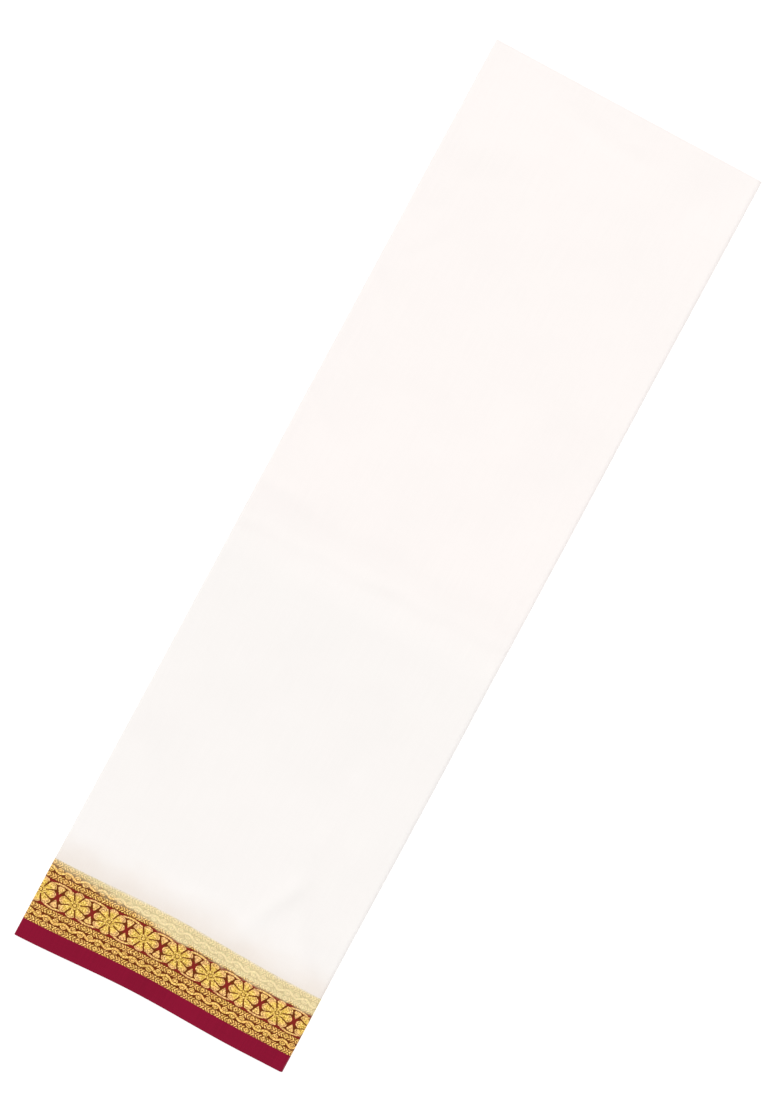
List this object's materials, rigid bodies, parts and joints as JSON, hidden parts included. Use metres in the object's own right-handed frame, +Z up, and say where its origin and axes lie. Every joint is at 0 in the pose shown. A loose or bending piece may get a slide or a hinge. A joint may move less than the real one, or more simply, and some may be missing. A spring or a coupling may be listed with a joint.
{
  "type": "folded silk sari",
  "caption": "Off-white silk sari with a maroon selvage and a woven gold border, folded lengthwise into a long flat bundle.",
  "frame": {"origin": "under the middle of the folded strip, on the surface it lies on", "axes": "+X across the strip to the last fold, +Y along it from the bordered selvage to the plain one, +Z up"},
  "size_m": [0.3438, 1.158, 0.012],
  "materials": {
    "ground_silk": "plain off-white silk with a soft sheen",
    "zari_brocade": "gold zari flowers, waves and chevrons woven on maroon silk",
    "edge_silk": "plain maroon silk with a soft sheen"
  },
  "bodies": {
    "root": {"top_panel_edge": "edge_silk", "last_fold_edge": "edge_silk", "turned_fold_edge": "edge_silk", "under_panel_edge": "edge_silk", "hidden_layers_edge": "edge_silk", "top_panel_zari": "zari_brocade", "last_fold_zari": "zari_brocade", "turned_fold_zari": "zari_brocade", "under_panel_zari": "zari_brocade", "hidden_layers_zari": "zari_brocade", "top_panel_ground": "ground_silk", "last_fold_ground": "ground_silk", "turned_fold_ground": "ground_silk", "under_panel_ground": "ground_silk", "hidden_layers_ground": "ground_silk"}
  },
  "joints": []
}
